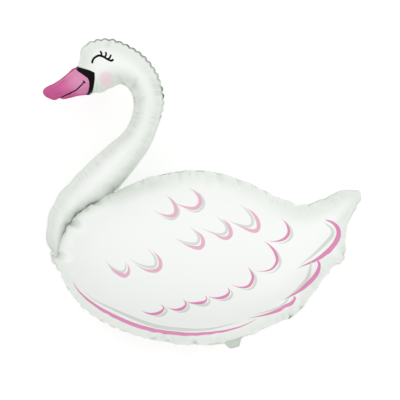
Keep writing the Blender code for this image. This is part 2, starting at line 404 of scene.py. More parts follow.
@dataclass(frozen=True)
class PlanMesher:
    """Lays points over the plan and joins them into triangles, finer towards the seam.

    Attributes:
        seam_width: Width of the sealed band outside the seam.
        step: Distance of points along the seam.
        grid: Distance of points far from it.
        fine_depth: How deep the rows of points beside the seam go.
        growth: How much wider each next row's spacing is.
        weld_pixels: Pixels that the inner weld runs through, from the notch behind the neck.
        crowding: Share of the spacing below which a point is left out.
        clearance: Share of its depth that a row keeps from every edge.
    """

    seam_width: float = 0.0030
    step: float = 0.004
    grid: float = 0.009
    fine_depth: float = 0.034
    growth: float = 1.13
    weld_pixels: tuple[Point, ...] = (
        (115, 193), (106.5, 198.5), (96.5, 201.5), (87.5, 206.5), (76.5, 215), (68, 224.5), (63, 237),
        (60, 249), (58, 256))
    crowding: float = 0.62
    clearance: float = 0.72

    def mesh(self, rim: Rim, scale: PhotoScale) -> PlanMesh:
        """Meshes the plan.

        Args:
            rim: The seam band's outer edge.
            scale: Where the photograph's pixels lie.

        Returns:
            The plan's mesh.
        """
        outer = evenly(rim.loop, self.step, closed=True)
        seam = evenly(outer + self.seam_width * inward(outer), self.step, closed=True)
        line = evenly(scale.place(self.weld_pixels), self.step, closed=False)
        depth = nearest_on(seam, line, closed=True)[0]
        line = line[inside(seam, line) & (depth > self.crowding * self.step)]
        notch = int(np.linalg.norm(seam - line[0], axis=1).argmin())
        kept = [seam, line]

        def sow(points: np.ndarray, apart: float, reach: float) -> None:
            """Keeps the points that are deep enough and not too near a kept one."""
            points = points[inside(seam, points)]
            deep = nearest_on(seam, points, closed=True)[0] >= reach * self.clearance
            off_weld = nearest_on(line, points, closed=False)[0] >= min(reach, apart) * self.clearance
            kept.append(self.spread(np.vstack(kept), points[deep & off_weld], apart * self.crowding))

        reach, apart = 0.0, self.step
        while reach < self.fine_depth:
            reach += apart
            sow(evenly(seam + reach * inward(seam), apart, closed=True), apart, reach)
            for side in (-1, 1):
                beside = line + side * reach * inward(line)
                sow(evenly(beside[1:-1], apart, closed=False), apart, apart)
            apart = min(apart * self.growth, self.grid)
        sow(self.hexagons(seam.min(0), seam.max(0)), self.grid, self.grid / 2)
        points = np.vstack(kept)
        weld = np.concatenate([[notch], len(seam) + np.arange(len(line))])
        corners = [Vector(point) for point in points]
        slit = list(zip(weld[:-1].tolist(), weld[1:].tolist()))
        found, _, faces, origin, _, _ = delaunay_2d_cdt(
            corners, slit, [list(range(len(seam)))], 1, MESH_TOLERANCE)
        if len(found) != len(points):
            raise ValueError("the seam or the weld crosses itself")
        order = np.array([numbers[0] for numbers in origin])
        return PlanMesh(points, order[np.array(faces)], len(seam), weld)

    def hexagons(self, low: np.ndarray, high: np.ndarray) -> np.ndarray:
        """Lays a grid of equal triangles' corners over a box."""
        rise = self.grid * math.sqrt(3) / 2
        rows = []
        for number, y in enumerate(np.arange(low[1], high[1], rise)):
            x = np.arange(low[0] + self.grid / 2 * (number % 2), high[0], self.grid)
            rows.append(np.column_stack([x, np.full(len(x), y)]))
        return np.vstack(rows)

    @staticmethod
    def spread(taken: np.ndarray, points: np.ndarray, apart: float) -> np.ndarray:
        """Leaves out each point that is nearer than apart to a taken or an earlier one."""
        everything = np.vstack([taken, points])
        tree = tree_of(everything)
        alive = np.ones(len(everything), bool)
        for number in range(len(taken), len(everything)):
            x, y = everything[number]
            near = tree.find_range((x, y, 0), apart)
            alive[number] = not any(other < number and alive[other] for _, other, _ in near)
        return everything[len(taken):][alive[len(taken):]]


class Membrane:
    """Linear elements over the triangles of a plan: gradients, and loads spread over a stretched skin."""

    def __init__(self, points: np.ndarray, faces: np.ndarray) -> None:
        """Works out the triangles' areas and the gradients of their corners' shape functions."""
        self.count = len(points)
        self.faces = faces
        a, b, c = (points[faces[:, k]] for k in range(3))
        first, second = b - a, c - a
        signed = first[:, 0] * second[:, 1] - first[:, 1] * second[:, 0]
        self.area = np.abs(signed) / 2
        across = (c - b, a - c, b - a)
        self.slopes = np.stack([np.column_stack([-e[:, 1], e[:, 0]]) / signed[:, None] for e in across], 1)
        local = np.einsum("tid,tjd,t->tij", self.slopes, self.slopes, self.area)
        self.rows = np.repeat(faces, 3, axis=1).ravel()
        self.columns = np.tile(faces, (1, 3)).ravel()
        self.values = local.ravel()
        same = self.rows == self.columns
        self.diagonal = np.bincount(self.rows[same], self.values[same], self.count)
        self.load = np.bincount(faces.ravel(), np.repeat(self.area / 3, 3), self.count)

    def swell(self, fixed: np.ndarray, rounds: int = 900, tolerance: float = 1e-8) -> np.ndarray:
        """Solves for the height of an evenly loaded skin that is held at the fixed points.

        Args:
            fixed: Which points are held at zero.
            rounds: The most rounds of conjugate gradients.
            tolerance: The share of the first residual at which to stop.

        Returns:
            The height at each point.
        """
        free = ~fixed
        height = np.zeros(self.count)
        left = self.load * free
        aim = scaled = left / self.diagonal
        size = first = left @ scaled
        for _ in range(rounds):
            pull = np.bincount(self.rows, self.values * aim[self.columns], self.count) * free
            share = size / (aim @ pull)
            height += share * aim
            left = left - share * pull
            scaled = left / self.diagonal
            size, before = left @ scaled, size
            if size < tolerance**2 * first:
                break
            aim = scaled + size / before * aim
        return height

    def gradient(self, height: np.ndarray) -> np.ndarray:
        """Averages the gradient of a height over the triangles round each point."""
        steep = np.einsum("tkd,tk->td", self.slopes, height[self.faces]) * self.area[:, None]
        corners = self.faces.ravel()
        total = np.bincount(corners, np.repeat(self.area, 3), self.count)
        steep = gathered(corners, np.repeat(steep, 3, axis=0), self.count)
        return steep / np.maximum(total, TINY)[:, None]


@dataclass
class Foil:
    """How the film behaves, in units in which the pressure is one.

    Attributes:
        widening: How much wider than the inflated shape the flat sheet is, as a share of the bulge's slope.
            A long tube whose flat width becomes half its girth has pi / 2 - 1.
        steepest: The most slope that the widening counts, which tames sharp inner corners.
        stretch: Stiffness of the film against being pulled.
        give: Share of that stiffness against being pushed together.
        bending: Share of it against being folded.
        grip: Share of it that holds the seam to the outline, in the plan only.
        seam_slack: Share of the film's extra length that is left along the seam, where sealing shrinks it.
        shrunk_depth: How far from the seam the film is shrunk.
        weld_slack: How much longer than its drawn line the weld's film is.
        full_height: Half the thickness that the sheets start from.
        flattened: How much of the underside lies flat on what carries it.
        steps: How many steps the relaxation takes.
        heaviness: A point's mass, as a share of the stiffness round it. Above one it keeps the steps stable.
        damping: Share of the speed that each step loses.
        pressure_rest: How many steps pass between two looks at the pressure.
        seed_height: Height of the first wave in the seam.
        seed_length: Its length along the seam.
    """

    widening: float = 0.50
    steepest: float = 0.20
    stretch: float = 5.2
    give: float = 0.1
    bending: float = 0.01
    grip: float = 0.3
    seam_slack: float = 0.3
    shrunk_depth: float = 0.05
    weld_slack: float = 1.03
    full_height: float = 0.145
    flattened: float = 0.004
    steps: int = 1300
    heaviness: float = 1.05
    damping: float = 0.02
    pressure_rest: int = 4
    seed_height: float = 0.002
    seed_length: float = 0.035


class Inflation:
    """Two sheets of foil joined along the seam and the weld, blown up by pressure.

    Attributes:
        plan: The sheets' plan.
        place: Where each point is. The joined points come first, then the upper sheet's, then the lower's.
        lower: For each point of the plan, the number of its twin in the lower sheet.
        faces: The triangles of both sheets, facing outwards.
    """

    def __init__(self, plan: PlanMesh, foil: Foil) -> None:
        """Finds the film's own lengths and sets the sheets up half inflated.

        Args:
            plan: One sheet's mesh.
            foil: How the film behaves.
        """
        self.plan, self.foil = plan, foil
        count, joined = len(plan.points), plan.joined
        self.lower = np.concatenate([np.arange(joined), np.arange(count, 2 * count - joined)])
        self.faces = np.vstack([plan.faces, self.lower[plan.faces][:, ::-1]])
        self.count = 2 * count - joined
        height = self._find_lengths()
        rise = foil.full_height * np.sqrt(height / height.max())
        upper = np.column_stack([plan.points, rise])
        self.place = np.vstack([upper, upper[joined:] * (1, 1, -1)])
        along = np.arange(plan.seam_count)
        waves = round(plan.seam_count * PlanMesher.step / foil.seed_length)
        seed = foil.seed_height * np.sin(2 * math.pi * along * waves / len(along))
        self.place[:plan.seam_count, 2] += seed
        self.home = plan.points[:joined].copy()

    def _slit_open(self) -> tuple[np.ndarray, np.ndarray, np.ndarray]:
        """Parts the plan along the weld, so that the skin slopes away on both of its sides.

        Returns:
            The parted plan's points and triangles, and for each of its points the number in the whole plan.
        """
        plan = self.plan
        count, weld = len(plan.points), plan.weld
        slit = weld[:-1]
        middles = plan.points[plan.faces].mean(1)
        _, segment, _ = nearest_on(plan.points[weld], middles, closed=False)
        start, span = plan.points[weld][segment], np.diff(plan.points[weld], axis=0)[segment]
        beside = middles - start
        right = span[:, 0] * beside[:, 1] - span[:, 1] * beside[:, 0] < 0
        touching = np.isin(plan.faces, slit).any(1) & right
        twin = np.arange(count)
        twin[slit] = count + np.arange(len(slit))
        faces = plan.faces.copy()
        faces[touching] = twin[plan.faces[touching]]
        return np.vstack([plan.points, plan.points[slit]]), faces, np.concatenate([np.arange(count), slit])

    @staticmethod
    def _across(faces: np.ndarray, edges: np.ndarray, count: int) -> np.ndarray:
        """Pairs the two points that face each other over every shared edge of the triangles."""
        names = edges[:, 0] * count + edges[:, 1]
        ends = np.stack([faces[:, [1, 2, 0]].ravel(), faces[:, [2, 0, 1]].ravel()])
        low, high = np.sort(ends, axis=0)
        edge = np.searchsorted(names, low * count + high)
        order = np.argsort(edge, kind="stable")
        edge, opposite = edge[order], faces.ravel()[order]
        shared = np.flatnonzero(edge[1:] == edge[:-1])
        return np.column_stack([opposite[shared], opposite[shared + 1]])

    def _find_lengths(self) -> np.ndarray:
        """Finds each edge's length in the flat film. Returns the skin's height over the plan."""
        plan, foil = self.plan, self.foil
        count = len(plan.points)
        points, faces, back = self._slit_open()
        skin = Membrane(points, faces)
        fixed = np.zeros(len(points), bool)
        fixed[:plan.joined] = True
        fixed[count:] = True
        height = skin.swell(fixed)
        edges = edges_of(faces)
        slope = self._eased(self._capped(skin.gradient(height)), edges)
        flat = points - foil.widening * slope

        def film(pairs: np.ndarray) -> np.ndarray:
            """The film's length between points, never less than in the plan, where it is taut."""
            apart = np.linalg.norm(flat[pairs[:, 0]] - flat[pairs[:, 1]], axis=1)
            drawn = np.linalg.norm(points[pairs[:, 0]] - points[pairs[:, 1]], axis=1)
            return np.maximum(apart, drawn)

        own = np.sort(back[edges], axis=1)
        keys, which = np.unique(own[:, 0] * count + own[:, 1], return_inverse=True)
        length = np.bincount(which, film(edges)) / np.bincount(which)
        sides = np.column_stack([keys // count, keys % count])
        on_weld = np.isin(sides, plan.weld).all(1)
        drawn = np.linalg.norm(plan.points[sides[:, 0]] - plan.points[sides[:, 1]], axis=1)
        length = drawn + (length - drawn) * self._kept_slack(sides)
        length[on_weld] = drawn[on_weld] * foil.weld_slack
        across = self._across(faces, edges, len(points))
        self.springs = []
        for pairs, rest, pulled, pushed in (
                (sides, length, foil.stretch, foil.stretch * foil.give),
                (back[across], film(across), foil.stretch * foil.bending, foil.stretch * foil.bending)):
            self.springs.append((np.vstack([pairs, self.lower[pairs]]), np.tile(rest, 2), pulled, pushed))
        stiffness = sum(np.bincount(pairs.ravel(), minlength=self.count) * pulled
                        for pairs, _, pulled, _ in self.springs)
        self.mass = stiffness[:, None] * foil.heaviness
        return height[:count]

    def _kept_slack(self, sides: np.ndarray) -> np.ndarray:
        """Share of its extra length that each edge keeps, which is least along the seam."""
        plan, foil = self.plan, self.foil
        middles = plan.points[sides].mean(1)
        span = plan.points[sides[:, 1]] - plan.points[sides[:, 0]]
        best = np.full(len(sides), np.inf)
        along = np.zeros(len(sides))
        for line, closed in plan.lines:
            depth, segment, _ = nearest_on(line, middles, closed)
            run = (np.roll(line, -1, axis=0) - line)[segment]
            cosine = (run * span).sum(1) / np.linalg.norm(run, axis=1) / np.linalg.norm(span, axis=1)
            along = np.where(depth < best, cosine**2, along)
            best = np.minimum(depth, best)
        share = np.clip(best / foil.shrunk_depth, 0, 1)
        kept = foil.seam_slack + (1 - foil.seam_slack) * share**2 * (3 - 2 * share)
        return 1 - (1 - kept) * along

    def _capped(self, slope: np.ndarray) -> np.ndarray:
        """Limits the slope's size."""
        size = np.linalg.norm(slope, axis=1)
        return slope * (np.minimum(size, self.foil.steepest) / np.maximum(size, TINY))[:, None]

    @staticmethod
    def _eased(field_values: np.ndarray, edges: np.ndarray, rounds: int = 6) -> np.ndarray:
        """Evens out values over the mesh."""
        count = len(field_values)
        ends = np.concatenate([edges[:, 0], edges[:, 1]])
        others = np.concatenate([edges[:, 1], edges[:, 0]])
        degree = np.maximum(np.bincount(ends, minlength=count), 1)[:, None]
        for _ in range(rounds):
            field_values = (field_values + gathered(ends, field_values[others], count) / degree) / 2
        return field_values

    def _pull(self) -> np.ndarray:
        """Adds up the springs' forces on each point."""
        force = np.zeros_like(self.place)
        for pairs, rest, pulled, pushed in self.springs:
            span = self.place[pairs[:, 1]] - self.place[pairs[:, 0]]
            length = np.sqrt(np.einsum("ij,ij->i", span, span))
            excess = length - rest
            span *= (np.where(excess > 0, pulled, pushed) * excess / length)[:, None]
            force += gathered(pairs[:, 0], span, self.count) - gathered(pairs[:, 1], span, self.count)
        return force

    def _push(self) -> np.ndarray:
        """Adds up the pressure's forces on each point."""
        a, b, c = (self.place[self.faces[:, k]] for k in range(3))
        force = np.cross(b - a, c - a) / 6
        return sum(gathered(self.faces[:, k], force, self.count) for k in range(3))

    def run(self) -> None:
        """Lets the sheets settle, on a level surface under the lowest part."""
        foil, joined = self.foil, self.plan.joined
        speed = np.zeros_like(self.place)
        pressure = self._push()
        for step in range(foil.steps):
            if step % foil.pressure_rest == 0:
                pressure = self._push()
            force = self._pull() + pressure
            force[:joined, :2] -= foil.grip * foil.stretch * (self.place[:joined, :2] - self.home)
            speed = (speed + force / self.mass) * (1 - foil.damping)
            self.place += speed
        LOG.info("foil settled to within %.2g a step", np.abs(speed).max())
        floor = self.place[:, 2].min() + foil.flattened
        self.place[:, 2] = np.maximum(self.place[:, 2], floor)


# The print


@dataclass(frozen=True)
class Stroke:
    """A brush stroke, as printed, in pixels of the photograph.

    Attributes:
        ink: What it is printed with.
        line: Pixels that its middle runs through.
        width: Its greatest width, in pixels.
        fullest: Where along it the greatest width is, as a share of its length.
        blunt: Power of the taper: 0 gives an even line.
        step: Distance from point to point of its outline, in pixels.
    """

    ink: Ink
    line: tuple[Point, ...]
    width: float
    fullest: float = 0.6
    blunt: float = 1.1
    step: float = 1.0

    def shape(self) -> np.ndarray:
        """Gives the stroke's outline in pixels, as a closed loop."""
        middle = evenly(np.array(self.line), self.step, closed=False)
        ahead = unit(np.gradient(middle, axis=0))
        side = np.column_stack([-ahead[:, 1], ahead[:, 0]])
        share = np.linspace(0, 1, len(middle))
        swell = np.sin(math.pi * share ** (math.log(0.5) / math.log(self.fullest)))
        radius = self.width / 2
        from_end = np.minimum(share, 1 - share) * (len(middle) - 1) * self.step
        cap = np.sqrt(1 - (1 - np.minimum(from_end / radius, 1)) ** 2)
        half = (radius * np.maximum(swell, 0) ** self.blunt * cap)[:, None]
        left, right = middle + half * side, middle - half * side
        return np.vstack([middle[:1], left[1:-1], middle[-1:], right[-2:0:-1]])


@dataclass(frozen=True)
class Patch:
    """A printed area with its own outline, in pixels of the photograph.

    Attributes:
        ink: What it is printed with.
        loop: The outline's corners.
    """

    ink: Ink
    loop: tuple[Point, ...]

    def shape(self) -> np.ndarray:
        """Gives the outline in pixels, as a closed loop."""
        return np.array(self.loop)


@dataclass(frozen=True)
class Disc:
    """A round printed area, in pixels of the photograph.

    Attributes:
        ink: What it is printed with.
        centre: Its middle.
        radius: Its radius.
        sides: How many sides its outline has.
    """

    ink: Ink
    centre: Point
    radius: float
    sides: int = 40

    def shape(self) -> np.ndarray:
        """Gives the outline in pixels, as a closed loop."""
        turn = np.linspace(0, 2 * math.pi, self.sides, endpoint=False)
        return np.array(self.centre) + self.radius * np.column_stack([np.cos(turn), np.sin(turn)])


@dataclass(frozen=True)
class Picture:
    """The swan's print: the face, the rows of feathers and the long strokes of the wing.

    Attributes:
        pale_width: Greatest width of a pale feather's tip, in pixels.
        hook_width: That of a strong one.
        shade_width: That of the grey stroke beside a tip.
        shade_offset: How far a strong tip's grey stroke is moved, in pixels.
        lid_width: Width of the closed eye's lid.
        lash_width: Width of a lash.
        mouth_width: Width of the mouth's line.
        line_step: Distance from point to point of the face's lines.
        line_taper: Power of their taper.
    """

    pale_width: float = 3.9
    hook_width: float = 2.9
    shade_width: float = 2.8
    shade_offset: Point = (3.0, 2.4)
    lid_width: float = 2.3
    lash_width: float = 1.8
    mouth_width: float = 1.4
    line_step: float = 0.4
    line_taper: float = 0.08

    def shapes(self) -> list[Stroke | Patch | Disc]:
        """Lists every printed shape. A later one lies over an earlier one."""
        return [*self.feathers(), *self.long_strokes(), *self.face()]

    def feathers(self) -> list[Stroke]:
        """The feathers' tips: pale ones on the wing's top, and a row of stronger ones under them."""
        pale = (
            (((149.5, 208.7), (161.2, 214.1), (169.3, 215.9), (174.7, 214.1), (175.9, 208.7), (173.8, 203.3),
              (169.3, 197.9), (164.8, 195.2)),
             ((155, 213.5), (166.6, 218.3), (173.8, 218.3), (178.3, 213.2), (177.7, 207.8), (173.5, 201.5))),
            (((168, 198.8), (177.4, 204.2), (188.2, 207.8), (195.4, 207.8), (199.9, 203.3), (199, 197),
              (194.5, 191.6), (188.2, 187.1)),
             ((180, 207), (188.5, 210.6), (197.2, 211.2), (203, 206), (203, 199.7), (199, 193.4),
              (194.6, 190))),
            (((173.5, 237.5), (186.4, 244.7), (195.4, 247.4), (200.8, 246.5), (202.9, 242), (200.8, 235.7),
              (193.6, 229)),
             ((169.3, 234.7), (177.4, 239.3), (188.2, 242.9), (196, 242.9), (198.6, 238.4), (195.4, 232.1),
              (188.2, 225.8))),
            (((205, 228.5), (211.5, 232.2), (220.5, 237), (226.8, 237.5), (230.4, 233.9), (229.5, 227.6),
              (225.9, 222.2), (220.5, 218)),
             ((196, 224.5), (206.1, 230.3), (216.9, 233.9), (223.6, 233.4), (226.4, 229.8), (224.6, 224),
              (215.1, 215))),
            (((226, 220), (238.5, 225.5), (249.3, 230), (255.6, 230.3), (258.3, 226.7), (257.4, 220.4),
              (252.9, 213.2), (244.5, 206.5)),
             ((222, 217), (229.5, 220.8), (238.5, 224.4), (247.5, 226.2), (252.2, 223.1), (251.4, 216.8),
              (246, 209.6), (239, 203.6))),
            (((105, 259.8), (112.2, 269.2), (119.4, 273.7), (125, 275), (128.4, 271.9), (128.2, 266.5),
              (126, 263)),
             ((103.2, 255.7), (109.5, 265.2), (116.7, 270.6), (122.6, 271.2), (125.4, 267.4),
              (125.4, 261.1))),
            (((131, 260), (139.2, 266.5), (148.1, 270.4), (156.2, 270.1), (160.2, 265.6), (158.9, 258.4),
              (151.7, 249.4)),
             ((124.8, 253.2), (132, 260), (141, 265), (150, 266.8), (155, 265), (155.3, 259.3), (150.8, 252),
              (146, 247.5))))
        strong = (
            ((139.2, 309.7), (148.2, 313.3), (155.4, 313.7), (160.8, 311.5), (163.5, 307.9), (160.8, 304.3)),
            ((165.5, 306.4), (171, 308.8), (177, 309.6), (182.5, 308), (185.6, 304.3), (183.3, 299.7)),
            ((183.6, 299.7), (190, 302.6), (198, 303), (204, 301.6), (206.3, 298.8), (204.8, 295.8)),
            ((206.1, 295.2), (212, 297.4), (219, 297.9), (225.5, 296), (229, 291.8), (227.3, 287.3)),
            ((229.1, 283.3), (235, 286), (243, 287.2), (249.5, 284.8), (252.7, 278), (251, 272),
             (247.5, 266.8)),
            ((252.1, 269.6), (258, 271), (266, 270.7), (273, 267.6), (277, 260.5), (275, 252.5), (270, 246),
             (263.4, 240.9)),
            ((264.8, 239.7), (271, 241.2), (279, 240.6), (285.3, 237.6), (288.7, 232), (287, 225),
             (282.4, 219.1)))
        made = []
        for tip, shade in pale:
            made.append(Stroke(Ink.GREY, shade, self.shade_width, blunt=1.5))
            made.append(Stroke(Ink.PALE_PINK, tip, self.pale_width, blunt=1.7))
        for hook in strong:
            shade = tuple(map(tuple, np.array(hook[1:]) + self.shade_offset))
            made.append(Stroke(Ink.GREY, shade, self.shade_width, blunt=1.3))
            made.append(Stroke(Ink.PINK, hook, self.hook_width, blunt=1.3))
        return made

    def long_strokes(self) -> list[Stroke]:
        """The long strokes round the wing's edge, each with a grey one inside it."""
        return [
            Stroke(Ink.GREY, ((324, 223), (332.1, 229.4), (330.3, 237.9), (313.3, 254.8),
                              (297.6, 266.4)), 3.6, 0.4),
            Stroke(Ink.PINK, ((324.8, 220.6), (332.5, 222.8), (338, 228.8), (338.4, 236), (333.8, 245.2),
                              (325.6, 253), (314.5, 260.6), (296.4, 268.4)), 5.0, 0.4),
            Stroke(Ink.GREY, ((311.5, 262.7), (307.3, 277.9), (296.4, 290), (287, 297)), 3.6, 0.35),
            Stroke(Ink.PINK, ((316.4, 259.7), (319.4, 265.8), (314.5, 276.7), (301.2, 289.4), (289.1, 296.7),
                              (281.8, 299.9)), 4.4, 0.35),
            Stroke(Ink.GREY, ((289, 297), (283, 304.5), (270, 310.5), (252, 315)), 2.0, 0.3),
            Stroke(Ink.PINK, ((292.7, 296.4), (294.5, 299.1), (289.1, 304.5), (277, 310.6), (264.8, 314.8),
                              (247.3, 318.5)), 3.6, 0.25),
            Stroke(Ink.GREY, ((81.7, 289.4), (95, 300), (110.4, 307.8), (133.3, 318.1), (156.3, 326.1),
                              (185, 329.5), (210.3, 328.8), (244.2, 320.9)), 3.4, 0.5),
            Stroke(Ink.PINK, ((72.7, 281.1), (79.4, 291.7), (93.1, 303.7), (110.4, 314.1), (133.3, 324.4),
                              (156.3, 330.7), (179.2, 333.6), (192.1, 334.2), (210.3, 333), (228.5, 330),
                              (244.2, 325.2), (257.6, 318.5)), 3.8, 0.45, 0.8)]

    def face(self) -> list[Stroke | Patch | Disc]:
        """The pink beak, the black band behind it, the closed eye with lashes, the cheek and the mouth."""
        beak_edge = ((75.2, 66), (75.9, 69.5), (79, 72.1), (83.6, 75.2), (87.8, 78.3), (89.1, 81.3),
                     (89.3, 85.9), (88.5, 90.5), (87, 94.7))
        band_edge = ((77.1, 64.1), (79, 67.2), (89.7, 70.2), (94.7, 72.5), (94.9, 78.3), (93.9, 85.9),
                     (92.4, 92), (90.5, 94.7))
        past_tip = ((88, 112), (20, 112), (20, 50), (68, 50))
        lid = ((91.8, 63.3), (93.5, 59.1), (96.6, 56.5), (99.6, 55.7), (103.5, 56.8), (107.3, 59.1),
               (111.1, 60.5), (113.6, 59.5))
        lashes = (((100.2, 56.2), (101.5, 53.8), (100.2, 51)), ((104.2, 57.4), (106.1, 54.8), (105.5, 52)),
                  ((107.8, 59.4), (109.9, 57.4), (111, 54.6)))
        mouth = ((60.2, 97.8), (68.3, 94), (75.9, 90.1), (80.5, 85.9), (84.3, 81.9))
        corner = ((83.2, 80.9), (85.4, 82.9))
        lines = [(lid, self.lid_width)]
        lines += [(lash, self.lash_width) for lash in lashes]
        lines += [(line, self.mouth_width) for line in (mouth, corner)]
        return [Patch(Ink.BLACK, band_edge + past_tip), Patch(Ink.BEAK, beak_edge + past_tip),
                Disc(Ink.BLUSH, BLUSH_PIXEL, 8.4),
                *(Stroke(Ink.BLACK, line, width, 0.5, self.line_taper, self.line_step)
                  for line, width in lines)]


# The finished envelope


@dataclass
class Envelope:
    """The inflated foil as a fine closed mesh, with the print's edges cut into it.

    Attributes:
        inflation: The settled sheets.
        picture: What is printed on each sheet.
        viewpoint: Where the print is seen from.
        lift: How far the sheets are raised to stand on the floor.
        ink_gap: How near to a print's edge no other point lies.
        ink_step: Spacing of the places along the edge where that is tested, as a share of the gap.
        rounding: How much of the way from flat triangles to a rounded surface the points are moved.
        film: Thickness left between the two sheets at the weld.
        fold_shade_width: How far from a seam its painted shade reaches where it buckles.
        fold_shade_wave: How far the seam has to swing aside for that painted shade to be at its darkest.
        weld_fold_shade: How dark the painted shade at the weld's groove is, as a share of the darkest.
        weld_shade_start: How deep inside the seam the shade at the weld compares with.
        evened: How many times a stroke is evened out, so that it runs on smoothly over the wrinkles.
        printed: The ink and the outline in the plan of each printed shape, once the envelope is built.
        normals: The upper and the lower sheet's normals at the plan's points.
        sheets: The places of those points on the upper and the lower sheet.
    """

    inflation: Inflation
    picture: Picture
    viewpoint: Viewpoint
    lift: float
    ink_gap: float = 0.0010
    ink_step: float = 0.8
    rounding: float = 0.75
    film: float = 0.0005
    fold_shade_width: float = 0.0045
    fold_shade_wave: float = 0.0009
    weld_fold_shade: float = 0.35
    weld_shade_start: float = 0.012
    evened: int = 40
    printed: list[tuple[Ink, np.ndarray]] = field(init=False, default_factory=list)
    normals: tuple[np.ndarray, np.ndarray] = field(init=False)
    sheets: tuple[np.ndarray, np.ndarray] = field(init=False)

    def __post_init__(self) -> None:
        """Lifts the sheets to their height and finds their points' normals."""
        work = self.inflation
        place = work.place + (0, 0, self.lift)
        count = len(work.plan.points)
        self.sheets = (place[:count], place[work.lower])
        self.normals = tuple(self._normals(sheet, sign) for sheet, sign in zip(self.sheets, (1, -1)))

    def _normals(self, sheet: np.ndarray, sign: int) -> np.ndarray:
        """Averages the faces' normals at each point of one sheet."""
        faces = self.inflation.plan.faces
        a, b, c = (sheet[faces[:, k]] for k in range(3))
        normal = np.cross(b - a, c - a) * sign
        total = sum(gathered(faces[:, k], normal, len(sheet)) for k in range(3))
        return unit(total)

    def _to_plan(self, shapes: Iterable[Stroke | Patch | Disc]) -> list[np.ndarray]:
        """Finds where in the flat plan the printed shapes lie that the camera sees.

        Args:
            shapes: The shapes, in pixels.

        Returns:
            Each shape's outline in the plan.
        """
        upper, plan = self.sheets[0], self.inflation.plan
        tree = BVHTree.FromPolygons(upper.tolist(), plan.faces.tolist())
        eye = self.viewpoint.eye
        made = []
        for shape in shapes:
            loop = self.viewpoint.scale.place(shape.shape())
            out = []
            for x, y in loop:
                aim = Vector((x, y, self.viewpoint.seam_height))
                spot, _, face, _ = tree.ray_cast(eye, aim - eye)
                if face is None:
                    corners = plan.faces[tree.find_nearest(aim)[2]]
                    out.append(plan.points[corners].mean(0) + (x, y) - upper[corners, :2].mean(0))
                    continue
                corners = plan.faces[face]
                share = self._shares(upper[corners][None], np.array(spot)[None])[0]
                out.append(share @ plan.points[corners])
            shift = np.array(out) - loop
            for _ in range(self.evened if isinstance(shape, Stroke) else 0):
                shift = (np.roll(shift, 1, axis=0) + 2 * shift + np.roll(shift, -1, axis=0)) / 4
            made.append(loop + shift)
        return made

    @staticmethod
    def _shares(triangle: np.ndarray, spots: np.ndarray) -> np.ndarray:
        """Weights of each triangle's three corners at its spot."""
        a, b, c = triangle[:, 0], triangle[:, 1], triangle[:, 2]
        u, v, w = b - a, c - a, spots - a
        uu, uv, vv = (u * u).sum(1), (u * v).sum(1), (v * v).sum(1)
        wu, wv = (w * u).sum(1), (w * v).sum(1)
        under = uu * vv - uv * uv
        second = (vv * wu - uv * wv) / under
        third = (uu * wv - uv * wu) / under
        return np.column_stack([1 - second - third, second, third])

    def build(self) -> bpy.types.Object:
        """Cuts the print into the plan and lifts it on to both sheets.

        Returns:
            The envelope, one closed mesh whose faces carry each ink's material index.
        """
        plan = self.inflation.plan
        shapes = self.picture.shapes()
        loops = self._to_plan(shapes)
        self.printed = [(shape.ink, loop) for shape, loop in zip(shapes, loops)]
        points, faces = self._cut(loops)
        inks = self.inks_at(points[faces].mean(1))
        rim, ring = self._rim(faces, points)
        upper, lower = (self._lifted(side, points) for side in (0, 1))
        _, segment, share = nearest_on(plan.points[:plan.seam_count], points[ring], closed=True)
        upper[ring] = lower[ring] = self._along_seam(segment, share)
        gap = nearest_on(plan.points[plan.weld], points, closed=False)[0] < self.ink_gap / 2
        gap &= ~rim
        upper[gap, 2] += self.film / 2
        lower[gap, 2] -= self.film / 2
        twin = np.arange(len(points))
        twin[~rim] = len(points) + np.arange((~rim).sum())
        places = np.vstack([upper, lower[~rim]])
        places[:, 2] = np.maximum(places[:, 2], 0)
        triangles = np.vstack([faces, twin[faces][:, ::-1]])
        mesh = bpy.data.meshes.new("foil_envelope")
        mesh.from_pydata(places.tolist(), [], triangles.tolist())
        mesh.polygons.foreach_set("material_index", np.tile(inks, 2).astype(np.int32))
        mesh.polygons.foreach_set("use_smooth", np.ones(len(triangles), bool))
        for name, (above, below) in self._guides(points, (upper, lower)).items():
            attribute = mesh.attributes.new(name, "FLOAT", "POINT")
            attribute.data.foreach_set("value", np.concatenate([above, below[~rim]]).astype(np.float32))
        roots = self._crease_roots(points)
        attribute = mesh.attributes.new("crease_root", "FLOAT_VECTOR", "POINT")
        attribute.data.foreach_set("vector", np.vstack([roots, roots[~rim]]).astype(np.float32).ravel())
        mesh.update()
        ends = np.empty(2 * len(mesh.edges), np.int32)
        mesh.edges.foreach_get("vertices", ends)
        low, high = np.sort(ends.reshape(-1, 2), axis=1).T
        seam_low, seam_high = np.sort(np.stack([ring, np.roll(ring, -1)]), axis=0)
        sharp = np.isin(low * len(places) + high, seam_low * len(places) + seam_high)
        mesh.attributes.new("sharp_edge", "BOOLEAN", "EDGE").data.foreach_set("value", sharp)
        return bpy.data.objects.new("foil_envelope", mesh)

